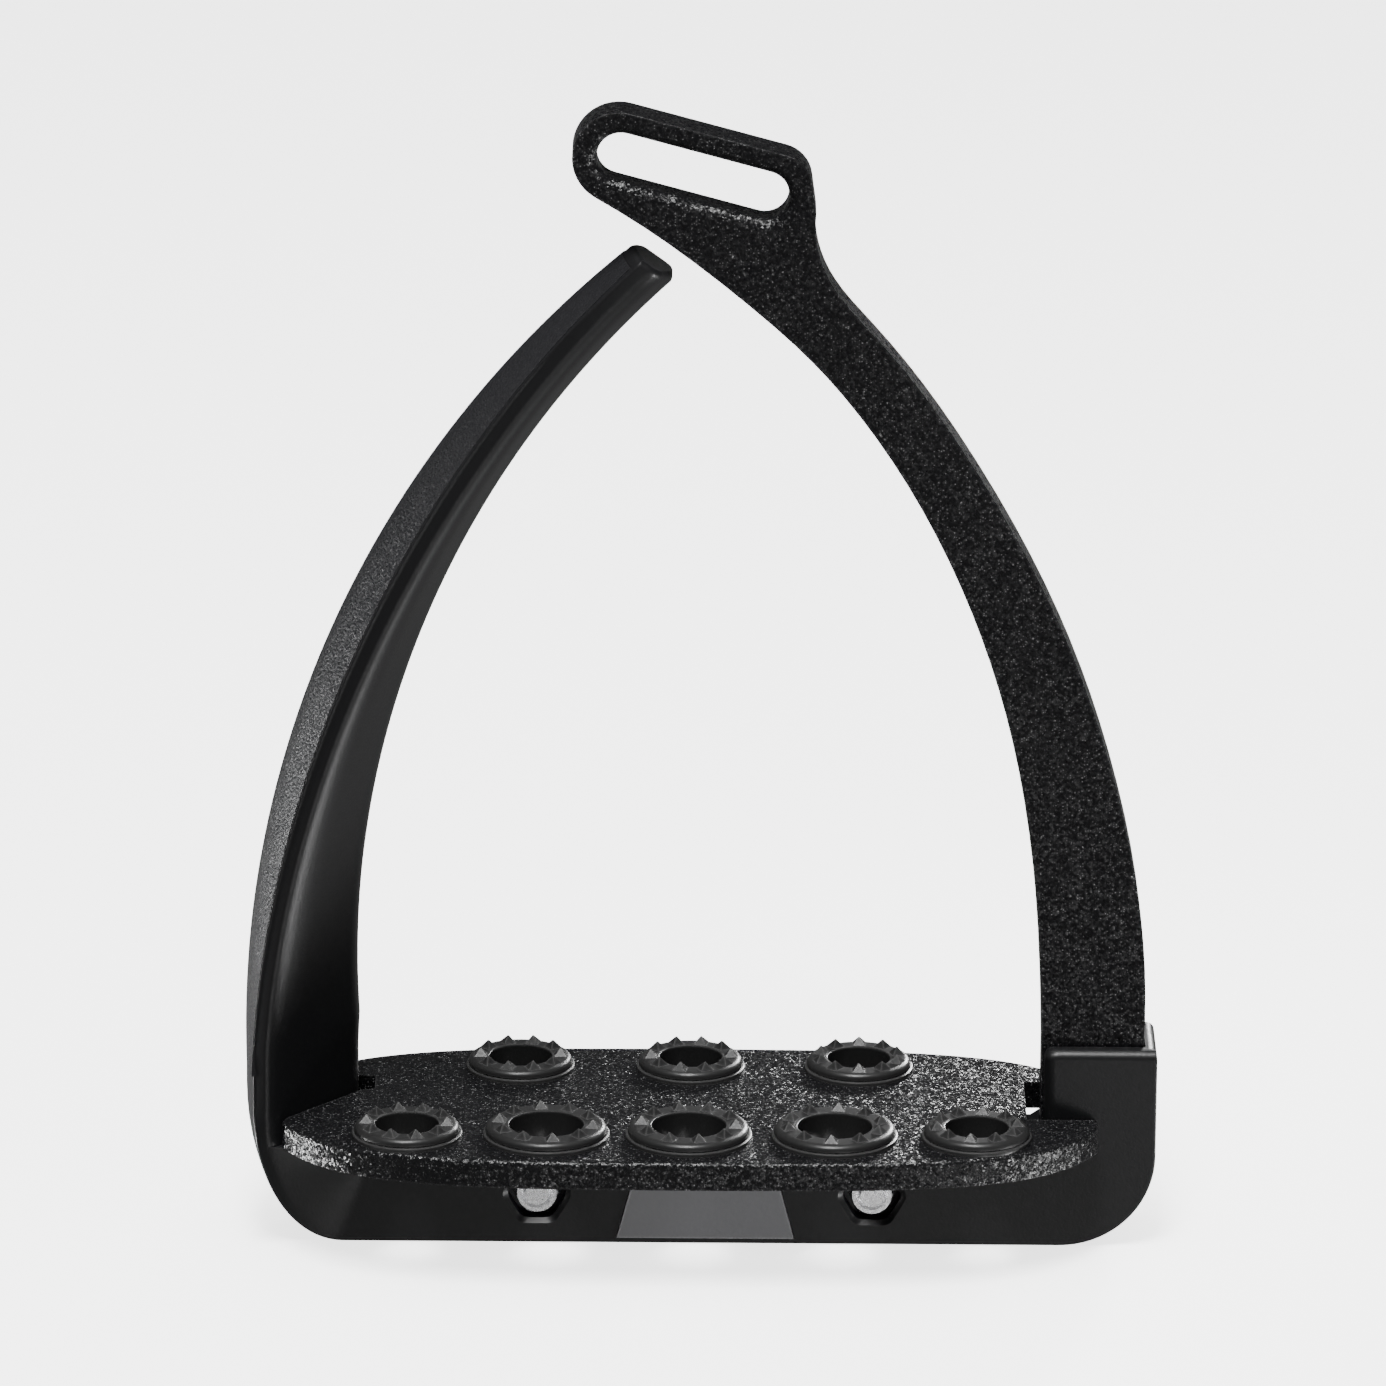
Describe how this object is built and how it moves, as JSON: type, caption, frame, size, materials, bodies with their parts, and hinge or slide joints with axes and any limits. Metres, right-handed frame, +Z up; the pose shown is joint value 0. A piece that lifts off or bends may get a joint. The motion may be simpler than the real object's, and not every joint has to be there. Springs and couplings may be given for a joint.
{
  "type": "stirrup iron",
  "caption": "Safety stirrup with a rigid strap-eye arm, a free flexible outer arm, and a wide foot plate carrying toothed ring cleats on a polymer base.",
  "frame": {"origin": "middle of the object's width and depth, on the flat underside of the base", "axes": "+X towards the rigid arm, +Y towards the back, +Z up towards the strap eye"},
  "size_m": [0.159, 0.0594, 0.2032],
  "materials": {
    "satin_polymer": "satin",
    "grip_strip": "fine texture",
    "arm_coat": "fine sparkle powder coat",
    "tread_coat": "coarse sparkle powder coat",
    "cleat_black": "satin black",
    "retainer_steel": "dark",
    "bright_steel": "bright zinc",
    "spring_steel": "plain",
    "badge_grey": "grey satin"
  },
  "bodies": {
    "base": {"badge_plate": "badge_grey", "base_housing": "satin_polymer", "cleat_back_1": "cleat_black", "cleat_back_2": "cleat_black", "cleat_back_3": "cleat_black", "cleat_front_1": "cleat_black", "cleat_front_2": "cleat_black", "cleat_front_3": "cleat_black", "cleat_front_4": "cleat_black", "cleat_front_5": "cleat_black", "cross_bolt_left": "bright_steel", "cross_bolt_right": "bright_steel", "hex_nut_left": "bright_steel", "hex_nut_right": "bright_steel", "inner_arm": "arm_coat", "retainer_back_1": "retainer_steel", "retainer_back_2": "retainer_steel", "retainer_back_3": "retainer_steel", "retainer_front_1": "retainer_steel", "retainer_front_2": "retainer_steel", "retainer_front_3": "retainer_steel", "retainer_front_4": "retainer_steel", "retainer_front_5": "retainer_steel", "spring_core_foot": "spring_steel", "tread_plate": "tread_coat"},
    "flexible_arm": {"outer_arm": "satin_polymer", "outer_arm_cover": "grip_strip", "spring_core_blade": "spring_steel"}
  },
  "joints": [
    {"name": "outer_arm_flex", "type": "hinge", "parent": "base", "child": "flexible_arm", "pos_m": [-0.0695, 0, 0.0367], "axis": [0, -1, 0], "range_deg": [0, 25], "stiffness_Nm_per_rad": 30}
  ]
}
